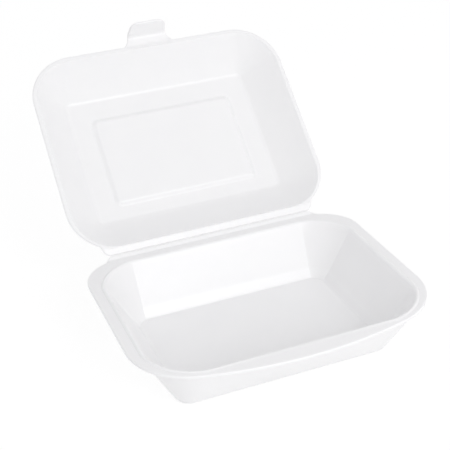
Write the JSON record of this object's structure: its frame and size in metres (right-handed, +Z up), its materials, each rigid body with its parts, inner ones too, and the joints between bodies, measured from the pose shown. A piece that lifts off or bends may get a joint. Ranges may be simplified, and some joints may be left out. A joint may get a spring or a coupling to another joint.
{
  "type": "foam clamshell container",
  "caption": "Foam takeaway container with a deep tray and a shallow lid standing open on a creased hinge; a curled tab on the lid closes over the tray's front lip.",
  "frame": {"origin": "centre of the tray base's underside, on the table", "axes": "+Z up, +Y towards the hinge at the back, +X to the right seen from the front"},
  "size_m": [0.238, 0.3456, 0.2006],
  "materials": {
    "foam": "matte white foamed plastic with a fine skin"
  },
  "bodies": {
    "tray": {"tray": "foam"},
    "lid": {"lid": "foam"}
  },
  "joints": [
    {"name": "lid_hinge", "type": "hinge", "parent": "tray", "child": "lid", "pos_m": [0, 0.097, 0.05045], "axis": [1, 0, 0], "range_deg": [-42, 138]}
  ]
}
